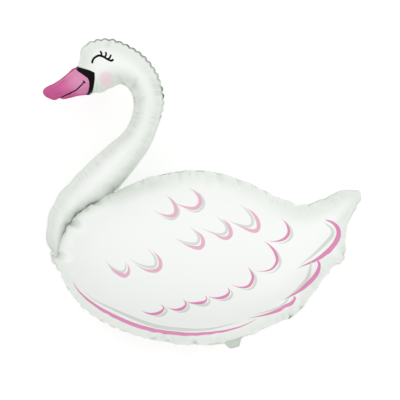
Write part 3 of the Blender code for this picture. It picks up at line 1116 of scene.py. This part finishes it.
    def _guides(self, points: np.ndarray, sheets: Sequence[np.ndarray]) -> dict[str, list[np.ndarray]]:
        """Works out what the finishes' painted shade follows on both sheets: the distance in from the seams,
        and how much painted shade lies where the seam buckles and at the weld.

        Args:
            points: The points in the plan.
            sheets: Their places on the upper and the lower sheet.

        Returns:
            The upper and the lower sheet's values, by name.
        """
        plan = self.inflation.plan
        to_seam, segment, _ = nearest_on(plan.points[:plan.seam_count], points, closed=True)
        to_weld, *_ = nearest_on(plan.points[plan.weld], points, closed=False)
        height = self.sheets[0][:plan.seam_count, 2]
        # Painted shade where the seam buckles: dark where the seam swings aside, and in a thin line along
        # the weld's groove.
        wave = (height - height.mean())[segment] / self.fold_shade_wave
        beside, inner = (np.exp(-(gap / self.fold_shade_width) ** 2) for gap in (to_seam, to_weld))
        inner *= self.weld_fold_shade
        fold_shades = [np.maximum(beside * np.clip(side * wave, 0, 1), inner) for side in (-1, 1)]
        # How far in from the seam and the weld each point lies, seen from above; the painted shade towards
        # the rim follows this.
        seam, weld = self.sheets[0][:plan.seam_count, :2], self.sheets[0][plan.weld, :2]
        depths = []
        for sheet in sheets:
            in_from_seam, *_ = nearest_on(seam, sheet[:, :2], closed=True)
            in_from_weld, *_ = nearest_on(weld, sheet[:, :2], closed=False)
            depths.append(np.minimum(in_from_seam, in_from_weld + self.weld_shade_start))
        return {"seam_depth": depths, "fold_shade": fold_shades}

    def _crease_roots(self, points: np.ndarray) -> np.ndarray:
        """Finds where on the seam or the weld the creases start that reach each point of the plan."""
        plan = self.inflation.plan
        best = np.full(len(points), np.inf)
        roots = np.zeros((len(points), 3))
        for line, closed in plan.lines:
            gap, segment, share = nearest_on(line, points, closed)
            span = (np.roll(line, -1, axis=0) - line)[segment]
            nearer = gap < best
            roots[nearer, :2] = (line[segment] + share[:, None] * span)[nearer]
            best = np.minimum(best, gap)
        return roots

    def inks_at(self, places: np.ndarray) -> np.ndarray:
        """Gives the ink's material slot at each place of the plan."""
        inks = np.zeros(len(places), int)
        for ink, loop in self.printed:
            inks[inside(loop, places)] = ink.value
        return inks

    def _cut(self, loops: list[np.ndarray]) -> tuple[np.ndarray, np.ndarray]:
        """Joins the plan's points, the middles of its edges and the print's edges into triangles."""
        plan = self.inflation.plan
        seam = plan.points[:plan.seam_count]
        edges = edges_of(plan.faces)
        middles = plan.points[edges].mean(1)
        on_seam = (edges < plan.seam_count).all(1)
        step = np.abs(edges[:, 0] - edges[:, 1])
        on_seam &= (step == 1) | (step == plan.seam_count - 1)
        outline = np.empty((2 * len(seam), 2))
        outline[0::2] = seam
        outline[1::2] = (seam + np.roll(seam, -1, axis=0)) / 2
        weld = np.empty((2 * len(plan.weld) - 1, 2))
        weld[0::2] = plan.points[plan.weld]
        weld[1::2] = (weld[0:-1:2] + weld[2::2]) / 2
        rest = np.vstack([plan.points[plan.seam_count:], middles[~on_seam]])
        step = self.ink_gap * self.ink_step
        dense = [evenly(np.vstack([loop, loop[:1]]), step, closed=False) for loop in loops]
        tree = tree_of(np.vstack([*dense, weld]))
        clear = np.array([tree.find((x, y, 0))[2] > self.ink_gap for x, y in rest])
        parts = [outline, weld[1:], rest[clear]]
        start = len(outline)
        sides = [(start + k, start + k + 1) for k in range(len(weld) - 2)]
        start = sum(map(len, parts))
        for loop in loops:
            count = len(loop)
            sides += [(start + k, start + (k + 1) % count) for k in range(count)]
            parts.append(loop)
            start += count
        corners = [Vector(point) for point in np.vstack(parts)]
        border = [list(range(len(outline)))]
        found, _, faces, *_ = delaunay_2d_cdt(corners, sides, border, 1, PRINT_TOLERANCE)
        points, faces = np.array([corner[:] for corner in found]), np.array(faces)
        faces = faces[inside(outline, points[faces].mean(1))]
        used, renamed = np.unique(faces, return_inverse=True)
        return points[used], renamed.reshape(faces.shape)

    @staticmethod
    def _rim(faces: np.ndarray, points: np.ndarray) -> tuple[np.ndarray, np.ndarray]:
        """Finds the mesh's border. Returns which points are on it, and their numbers in order round it."""
        count = len(points)
        ways = np.vstack([faces[:, [0, 1]], faces[:, [1, 2]], faces[:, [2, 0]]])
        forward = ways[:, 0] * count + ways[:, 1]
        backward = ways[:, 1] * count + ways[:, 0]
        border = ways[~np.isin(forward, backward)]
        following = dict(border.tolist())
        start = spot = int(border[0, 0])
        ring = [start]
        while (spot := following[spot]) != start:
            ring.append(spot)
        if len(ring) != len(border):
            raise ValueError("the envelope's border is not one loop")
        rim = np.zeros(count, bool)
        rim[ring] = True
        return rim, np.array(ring)

    def _along_seam(self, segment: np.ndarray, share: np.ndarray) -> np.ndarray:
        """Places on the smooth curve through the settled seam."""
        seam = self.sheets[0][:self.inflation.plan.seam_count]
        return spline(*(seam[(segment + k) % len(seam)] for k in (-1, 0, 1, 2)), share[:, None])

    def _lifted(self, side: int, points: np.ndarray) -> np.ndarray:
        """Places of the plan's points on one settled sheet, rounded over its triangles."""
        plan = self.inflation.plan
        flat = np.column_stack([plan.points, np.zeros(len(plan.points))])
        tree = BVHTree.FromPolygons(flat.tolist(), plan.faces.tolist())
        hit = np.array([tree.find_nearest(Vector((x, y, 0)))[2] for x, y in points])
        corners = plan.faces[hit]
        share = np.clip(self._shares(plan.points[corners], points), 0, 1)
        share /= share.sum(1)[:, None]
        places, normals = self.sheets[side][corners], self.normals[side][corners]
        spot = (share[..., None] * places).sum(1)
        off = ((spot[:, None] - places) * normals).sum(2)
        return spot - self.rounding * (share[..., None] * off[..., None] * normals).sum(1)


# Nodes


class Bench:
    """Adds nodes to a node tree, with their settings, values and links."""

    def __init__(self, tree: bpy.types.NodeTree) -> None:
        """Takes the node tree to work in."""
        self.tree = tree

    def feed(self, node: bpy.types.Node, inputs: Inputs) -> bpy.types.Node:
        """Links each socket to the node's input of that name or number, and sets any other value there."""
        for key, value in inputs.items():
            if isinstance(value, Socket):
                self.tree.links.new(value, node.inputs[key])
            else:
                node.inputs[key].default_value = value
        return node

    def add(self, kind: str, inputs: Inputs | None = None, **settings: object) -> bpy.types.Node:
        """Adds a node.

        Args:
            kind: The node's type.
            inputs: What goes into its inputs, by name or number.
            **settings: Its properties.

        Returns:
            The node.
        """
        node = self.tree.nodes.new(kind)
        for name, value in settings.items():
            setattr(node, name, value)
        return self.feed(node, inputs or {})

    def attribute(self, name: str, output: str = "Fac") -> Socket:
        """Reads an attribute of the mesh."""
        return self.add("ShaderNodeAttribute", attribute_name=name).outputs[output]

    def worked(self, operation: str, *values: Socket | float) -> Socket:
        """Works out a number from others."""
        return self.add("ShaderNodeMath", dict(enumerate(values)), operation=operation).outputs[0]

    def graded(self, value: Socket, start: float, end: float, full: float = 1.0) -> Socket:
        """Turns a value into a share that falls from full at start to nothing at end."""
        inputs = {"Value": value, "From Min": start, "From Max": end, "To Min": full, "To Max": 0}
        return self.add("ShaderNodeMapRange", inputs, interpolation_type="SMOOTHSTEP").outputs["Result"]

    def mixed(self, under: Socket | Colour, over: Colour, share: Socket) -> Socket:
        """Lays a share of one colour over another."""
        under = linear(under) if isinstance(under, tuple) else under
        inputs = {"Factor": share, 6: under, 7: linear(over)}
        return self.add("ShaderNodeMix", inputs, data_type="RGBA").outputs[2]

    def noise(self, place: Socket, scale: float, detail: float) -> Socket:
        """Gives a soft random pattern, finer with a greater scale."""
        inputs = {"Vector": place, "Scale": scale, "Detail": detail}
        return self.add("ShaderNodeTexNoise", inputs).outputs["Fac"]

    def bump(self, height: Socket, strength: float, **under: Socket) -> Socket:
        """Turns a height into a surface direction, over another one if that is given as Normal."""
        inputs = {"Height": height, "Strength": strength, "Distance": BUMP_DEPTH} | under
        return self.add("ShaderNodeBump", inputs).outputs["Normal"]


def linear(colour: Sequence[float]) -> tuple[float, float, float, float]:
    """Turns a colour of the photograph, 0 to 255, into the renderer's linear values."""
    shares = [channel / 255 for channel in colour]
    return (*(s / 12.92 if s <= 0.04045 else ((s + 0.055) / 1.055) ** 2.4 for s in shares), 1.0)


# The sealed band


@dataclass(frozen=True)
class SealedBand:
    """The flat band where the two sheets are sealed, with the filling tab, swept along the seam.

    Attributes:
        width: How wide the band is.
        thickness: How thick the two sheets are together, which is more than real so that they mesh well.
        rows: How many rows of faces it has across.
        tuck: How far it starts inside the envelope.
    """

    width: float = 0.0030
    thickness: float = 0.0006
    rows: int = 3
    tuck: float = 0.0006

    def build(self, envelope: Envelope, tab: Tab, material: bpy.types.Material) -> bpy.types.Object:
        """Sweeps the band with Geometry Nodes.

        Args:
            envelope: The envelope that the band runs round.
            tab: The filling tab.
            material: The band's finish.

        Returns:
            The band as a plain closed mesh.
        """
        seam, outward, reach = self._guide(envelope, tab)
        # How far the seam dips below its mean height; the band's finish paints shade where it dips.
        dip = seam[:, 2].mean() - seam[:, 2]
        mesh = bpy.data.meshes.new("seam_guide")
        count = len(seam)
        sides = [(k, (k + 1) % count) for k in range(count)]
        mesh.from_pydata((seam - self.tuck * outward).tolist(), sides, [])
        mesh.attributes.new("outward", "FLOAT_VECTOR", "POINT").data.foreach_set("vector", outward.ravel())
        mesh.attributes.new("reach", "FLOAT", "POINT").data.foreach_set("value", reach + self.tuck)
        mesh.attributes.new("dip", "FLOAT", "POINT").data.foreach_set("value", dip)
        guide = bpy.data.objects.new("seam_guide", mesh)
        bpy.context.scene.collection.objects.link(guide)
        tree, sockets = self._tree()
        sweep = guide.modifiers.new("sweep", "NODES")
        sweep.node_group = tree
        sweep[sockets["Thickness"]] = self.thickness
        sweep[sockets["Finish"]] = material
        view = bpy.context.evaluated_depsgraph_get()
        made = bpy.data.meshes.new_from_object(guide.evaluated_get(view))
        made.name = "sealed_band"
        made.materials.pop(index=0)
        bpy.data.objects.remove(guide)
        bpy.data.node_groups.remove(tree)
        middles = np.array([face.center.xy for face in made.polygons])
        inks = envelope.inks_at(middles)
        root, along, out = tab.axes(envelope.viewpoint.scale)
        off = middles - root
        slots = np.select([inks == Ink.BEAK.value, inks == Ink.BLACK.value], [1, 2], 0)
        slots[(np.abs(off @ along) < tab.width / 2) & (off @ out > 0) & (off @ out < 2 * tab.reach)] = 3
        made.polygons.foreach_set("material_index", slots.astype(np.int32))
        return bpy.data.objects.new("sealed_band", made)

    def _guide(self, envelope: Envelope, tab: Tab) -> tuple[np.ndarray, np.ndarray, np.ndarray]:
        """Finds the seam's points, the direction in which the band leaves each, and how far it reaches."""
        plan = envelope.inflation.plan
        count = plan.seam_count
        seam = envelope.sheets[0][:count]
        edges = edges_of(plan.faces)
        inner = edges[(edges[:, 0] < count) & (edges[:, 1] >= count)]
        pull = np.zeros((count, 3))
        for sheet in envelope.sheets:
            pull += gathered(inner[:, 0], unit(sheet[inner[:, 1]] - sheet[inner[:, 0]]), count)
        ahead = unit(np.roll(seam, -1, axis=0) - np.roll(seam, 1, axis=0))
        level = np.column_stack([-inward(seam[:, :2]), np.zeros(count)])
        outward = level - unit(pull)
        outward = unit(outward - (outward * ahead).sum(1)[:, None] * ahead)
        middle, along, out = tab.axes(envelope.viewpoint.scale)
        off = seam[:, :2] - middle
        near = (np.abs(off @ along) <= tab.width / 2) & (np.abs(off @ out) < tab.width)
        outward[near] = (*out, 0)
        reach = np.full(count, self.width)
        reach[near] += tab.depth_at(off[near] @ along)
        return seam, outward, reach

    def _tree(self) -> tuple[bpy.types.NodeTree, dict[str, str]]:
        """Builds the sweep: rows of faces pushed out of the seam, then given their thickness.

        Returns:
            The node tree, and its inputs' identifiers by name.
        """
        tree = bpy.data.node_groups.new("sealed_band_sweep", "GeometryNodeTree")
        face = tree.interface
        face.new_socket("Geometry", in_out="OUTPUT", socket_type="NodeSocketGeometry")
        face.new_socket("Geometry", in_out="INPUT", socket_type="NodeSocketGeometry")
        sockets = {
            name: face.new_socket(name, in_out="INPUT", socket_type=kind).identifier
            for name, kind in (("Thickness", "NodeSocketFloat"), ("Finish", "NodeSocketMaterial"))}
        bench = Bench(tree)
        source = bench.add("NodeGroupInput").outputs
        named = "GeometryNodeInputNamedAttribute"
        outward = bench.add(named, {"Name": "outward"}, data_type="FLOAT_VECTOR").outputs["Attribute"]
        reach = bench.add(named, {"Name": "reach"}).outputs["Attribute"]
        row = bench.worked("DIVIDE", reach, self.rows)
        shape, picked = source["Geometry"], {}
        for _ in range(self.rows):
            pushed = {"Mesh": shape, "Offset": outward, "Offset Scale": row} | picked
            push = bench.add("GeometryNodeExtrudeMesh", pushed, mode="EDGES").outputs
            shape, picked = push["Mesh"], {"Selection": push["Top"]}
        raised = {"Mesh": shape, "Offset Scale": source["Thickness"], "Individual": False}
        thick = bench.add("GeometryNodeExtrudeMesh", raised, mode="FACES").outputs["Mesh"]
        back = bench.add("GeometryNodeFlipFaces", {"Mesh": shape}).outputs["Mesh"]
        both = bench.add("GeometryNodeJoinGeometry", {"Geometry": thick})
        shape = bench.feed(both, {"Geometry": back}).outputs[0]
        for kind, more in (("MergeByDistance", {"Distance": MERGE_DISTANCE}), ("SetShadeSmooth", {}),
                           ("RealizeInstances", {}), ("SetMaterial", {"Material": source["Finish"]})):
            shape = bench.add("GeometryNode" + kind, {"Geometry": shape} | more).outputs[0]
        bench.add("NodeGroupOutput", {"Geometry": shape})
        return tree, sockets


# Finishes


@dataclass(frozen=True)
class Fade:
    """A soft round change of colour in a printed area: the printed blush, and the beak's painted highlight
    and painted shade.

    Attributes:
        centre: The pixel at its middle.
        near: How many pixels from there the colour is full.
        far: How many pixels from there it's gone.
        colour: The colour, 0 to 255.
        rise: How high that part of the foil stands above the seam's plane.
    """

    centre: Point
    near: float
    far: float
    colour: Colour
    rise: float = 0.045

    def share(self, bench: Bench, place: Socket, viewpoint: Viewpoint) -> Socket:
        """Gives the colour's share at each place, seen from above."""
        middle = (*viewpoint.seen_at(self.centre, self.rise), 0)
        for operation, value in (("SUBTRACT", middle), ("MULTIPLY", (1, 1, 0))):
            place = bench.add("ShaderNodeVectorMath", {0: place, 1: value}, operation=operation).outputs[0]
        away = bench.add("ShaderNodeVectorMath", {0: place}, operation="LENGTH").outputs["Value"]
        pixel = viewpoint.scale.pixel
        return bench.graded(away, self.near * pixel, self.far * pixel)


@dataclass(frozen=True)
class Creases:
    """Hairline creases that run in from the seam.

    Attributes:
        density: How many there are in a metre of seam, roughly.
        width: Width of one, as a share of the distance to the next.
        near: How far from the seam they start to fade.
        far: How far from the seam they end.
        patch_density: How many patches with and without creases there are in a metre.
        patch_range: Where a patch's random value leaves the creases out, and where it shows them all.
    """

    density: float = 50
    width: float = 0.07
    near: float = 0.012
    far: float = 0.030
    patch_density: float = 14
    patch_range: tuple[float, float] = (0.6, 0.45)

    def share(self, bench: Bench, place: Socket, depth: Socket) -> Socket:
        """Gives how much of the hairline creases there is at each place."""
        cells = {"Vector": bench.attribute("crease_root", "Vector"), "Scale": self.density}
        beside = bench.add("ShaderNodeTexVoronoi", cells, feature="DISTANCE_TO_EDGE").outputs["Distance"]
        line, reach = bench.graded(beside, 0.0, self.width), bench.graded(depth, self.near, self.far)
        patches = bench.graded(bench.noise(place, self.patch_density, 1), *self.patch_range)
        return bench.worked("MULTIPLY", bench.worked("MULTIPLY", line, reach), patches)


@dataclass(frozen=True)
class FoilFinish:
    """Printed metallised film: a tinted satin gloss over faint crinkles, with painted shade towards the
    seam.

    Attributes:
        name: The material's name.
        colour: The ink, 0 to 255.
        shade: The colour at the seam: painted shade, so the finish gets darker towards the rim.
        roughness: How much the gloss is spread.
        metallic: How much the metal shows through the ink.
        crinkle: Strength of the film's fine crinkles.
        gloss: How much the surface mirrors.
        coat_roughness: How much the clear coat's gloss is spread.
        fold_shade: How dark the painted shade gets where the seam buckles and at the weld.
        crease_shade_and_bump: How dark the painted shade gets in the hairline creases that run in from the
            seam, and how deep their bump is.
        guide: The mesh attribute that the shade follows.
        shade_from: Its value where the shade is full.
        shade_to: Its value where only the plain ink is left.
        fades: Soft changes of colour.
    """

    name: str
    colour: Colour
    shade: Colour
    roughness: float = 0.30
    metallic: float = 0.15
    crinkle: float = 0.10
    gloss: float = 0.3
    coat_roughness: float = 0.12
    fold_shade: float = 0.0
    crease_shade_and_bump: float = 0.0
    guide: str = "seam_depth"
    shade_from: float = 0.0
    shade_to: float = 0.05
    fades: tuple[Fade, ...] = ()

    def make(self, viewpoint: Viewpoint) -> bpy.types.Material:
        """Builds the material's nodes.

        Args:
            viewpoint: Where the photograph's pixels lie.

        Returns:
            The material.
        """
        material = bpy.data.materials.new(self.name)
        material.use_nodes = True
        bench = Bench(material.node_tree)
        where = bench.add("ShaderNodeTexCoord").outputs["Object"]
        depth = bench.attribute(self.guide)
        # Painted shade: the colour gets darker towards the seam and the weld as the guide's distance falls.
        colour = bench.mixed(self.colour, self.shade, bench.graded(depth, self.shade_from, self.shade_to))
        for fade in self.fades:
            colour = bench.mixed(colour, fade.colour, fade.share(bench, where, viewpoint))
        # Painted shade where the seam buckles and along the weld's groove, in a dark green-grey.
        if self.fold_shade:
            share = bench.graded(bench.attribute("fold_shade"), 1.0, 0.0, self.fold_shade)
            colour = bench.mixed(colour, FOLD_SHADE_COLOUR, share)
        normal = bench.bump(bench.noise(where, CRINKLES, 4), self.crinkle)
        # Painted shade along the hairline creases; the same lines also get a real bump.
        if self.crease_shade_and_bump:
            line = Creases().share(bench, where, depth)
            colour = bench.mixed(colour, FOLD_SHADE_COLOUR, bench.worked("MULTIPLY", line, self.crease_shade_and_bump))
            normal = bench.bump(bench.worked("MULTIPLY", line, -1.0), self.crease_shade_and_bump, Normal=normal)
        bench.feed(material.node_tree.nodes["Principled BSDF"], {
            "Base Color": colour, "Normal": normal, "Roughness": self.roughness,
            "Metallic": self.metallic, "Specular IOR Level": self.gloss,
            "Coat Weight": self.gloss / 2, "Coat Roughness": self.coat_roughness})
        return material


CRINKLES = 45
BUMP_DEPTH = 0.001
MERGE_DISTANCE = 1e-6
# The dark green-grey of the painted shade where the seam buckles, along the weld and in hairline creases.
FOLD_SHADE_COLOUR = (110, 132, 112)
# Each finish's second colour is painted shade towards the seam. The pearl foil also gets painted shade where
# the seam buckles, along the weld and in hairline creases.
PEARL = FoilFinish("foil_pearl", (247, 249, 246), (227, 233, 226), fold_shade=0.8, crease_shade_and_bump=0.15)
# The beak gets painted shade towards its tip and a painted highlight towards the black band, over its
# painted shade towards the seam.
BEAK = FoilFinish("beak_pink", (217, 106, 163), (200, 84, 144), shade_to=0.02,
                  fades=(Fade((47, 95), 4, 22, (201, 84, 145)), Fade((80, 79), 3, 20, (224, 146, 187))))
BLACK = FoilFinish("print_black", (8, 5, 5), (8, 5, 5), metallic=0.0, gloss=0.08)
PALE_PINK = FoilFinish("print_pale_pink", (231, 180, 203), (228, 174, 198))
PINK = FoilFinish("print_pink", (224, 138, 184), (220, 132, 178))
GREY = FoilFinish("print_grey", (216, 222, 215), (206, 212, 205))
BLUSH = FoilFinish("print_blush", (247, 249, 246), (227, 233, 226),
                   fades=(Fade(BLUSH_PIXEL, 5.0, 9.0, (243, 222, 229)),))
# The sealed band's second colour is painted shade on the parts of the band that dip under the sheets.
SEAL = FoilFinish("sealed_foil", (234, 239, 232), (84, 106, 86), roughness=0.36, guide="dip",
                  shade_from=0.0014, shade_to=0.0)
TAB = FoilFinish("tab_foil", (216, 223, 214), (208, 217, 206), roughness=0.4, crinkle=0.3)
FINISHES = {Ink.PEARL: PEARL, Ink.BEAK: BEAK, Ink.BLACK: BLACK, Ink.PALE_PINK: PALE_PINK, Ink.PINK: PINK,
            Ink.GREY: GREY, Ink.BLUSH: BLUSH}


# The studio


@dataclass(frozen=True)
class Studio:
    """A pale floor, soft light and a camera that looks straight down, as the photograph does.

    Attributes:
        floor_half: Half the floor's width.
        floor_glow: How much the floor glows, so that it stays white in the picture.
        sky_colour: The sky's colour.
        sky_strength: How bright it is all round.
        sky_slope: How much brighter it gets towards each axis.
        suns: The soft suns: the name, the way to it, its angle in degrees and its strength.
    """

    floor_half: float = 6.0
    floor_glow: float = 0.22
    sky_colour: tuple[float, ...] = (0.965, 0.97, 0.965, 1)
    sky_strength: float = 0.72
    sky_slope: Colour = (0.03, 0.14, 0.38)
    suns: tuple[tuple[str, Colour, float, float], ...] = (
        ("side", (1, 0.1, 0.6), 50, 0.1), ("streak", (0.6, -0.48, 0.64), 30, 0.06))

    def set_up(self, viewpoint: Viewpoint) -> None:
        """Makes the floor, the lights, the world and the camera.

        Args:
            viewpoint: Where the camera goes.
        """
        scene = bpy.context.scene
        scene.view_settings.view_transform = "Standard"
        self._floor(scene)
        self._lights(scene)
        camera = bpy.data.cameras.new("camera")
        camera.lens = viewpoint.lens
        camera.sensor_width = viewpoint.sensor
        camera.clip_end = 20
        eye = bpy.data.objects.new("camera", camera)
        eye.location = viewpoint.eye
        scene.collection.objects.link(eye)
        scene.camera = eye

    def _floor(self, scene: bpy.types.Scene) -> None:
        """Lays the floor."""
        mesh = bpy.data.meshes.new("floor")
        half = self.floor_half
        corners = [(x * half, y * half, 0) for x, y in ((-1, -1), (1, -1), (1, 1), (-1, 1))]
        mesh.from_pydata(corners, [], [(0, 1, 2, 3)])
        floor = bpy.data.objects.new("floor", mesh)
        material = bpy.data.materials.new("floor_white")
        material.use_nodes = True
        Bench(material.node_tree).feed(material.node_tree.nodes["Principled BSDF"], {
            "Base Color": (0.9, 0.9, 0.9, 1), "Roughness": 0.9,
            "Emission Color": (1, 1, 1, 1), "Emission Strength": self.floor_glow})
        mesh.materials.append(material)
        scene.collection.objects.link(floor)
        floor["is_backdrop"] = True

    def _lights(self, scene: bpy.types.Scene) -> None:
        """Lights the room: an even pale sky that is a little brighter overhead, and two soft suns."""
        for name, way, degrees, strength in self.suns:
            lamp = bpy.data.lights.new(name, "SUN")
            lamp.energy = strength
            lamp.angle = math.radians(degrees)
            light = bpy.data.objects.new(name, lamp)
            light.location = Vector(way) * 3
            light.rotation_euler = Vector(way).to_track_quat("Z", "Y").to_euler()
            scene.collection.objects.link(light)
        world = bpy.data.worlds.new("studio")
        world.use_nodes = True
        scene.world = world
        bench = Bench(world.node_tree)
        way = bench.add("ShaderNodeTexCoord").outputs["Generated"]
        inputs = {0: way, 1: self.sky_slope}
        slope = bench.add("ShaderNodeVectorMath", inputs, operation="DOT_PRODUCT").outputs["Value"]
        bench.feed(world.node_tree.nodes["Background"], {
            "Color": self.sky_colour, "Strength": bench.worked("ADD", slope, self.sky_strength)})


def dress(piece: bpy.types.Object) -> None:
    """Links a finished piece and hands it to the frame in place of the CAD node."""
    bpy.context.scene.collection.objects.link(piece)
    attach(piece, BODY)
    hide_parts(NODE)
    LOG.info("%s: %d faces", piece.name, len(piece.data.polygons))


def main() -> None:
    """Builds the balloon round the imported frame, and the studio."""
    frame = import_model()
    low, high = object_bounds()
    scale = PhotoScale(low, high)
    tab = Tab()
    rim = Rim.of_solid(frame["nodes"][NODE], tab, scale)
    plan = PlanMesher().mesh(rim, scale)
    LOG.info("plan: %d points, %d faces", len(plan.points), len(plan.faces))
    inflation = Inflation(plan, Foil(steps=Foil.steps))
    inflation.run()
    lift = -float(inflation.place[:, 2].min())
    viewpoint = Viewpoint(scale, rim.height)
    envelope = Envelope(inflation, Picture(), viewpoint, lift)
    skin = envelope.build()
    for ink in Ink:
        skin.data.materials.append(FINISHES[ink].make(viewpoint))
    dress(skin)
    band = SealedBand().build(envelope, tab, SEAL.make(viewpoint))
    for ink in (Ink.BEAK, Ink.BLACK):
        band.data.materials.append(skin.data.materials[ink.value])
    band.data.materials.append(TAB.make(viewpoint))
    dress(band)
    Studio().set_up(viewpoint)
    low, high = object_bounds()


if __name__ == "__main__":
    logging.basicConfig(level=logging.INFO)
    main()
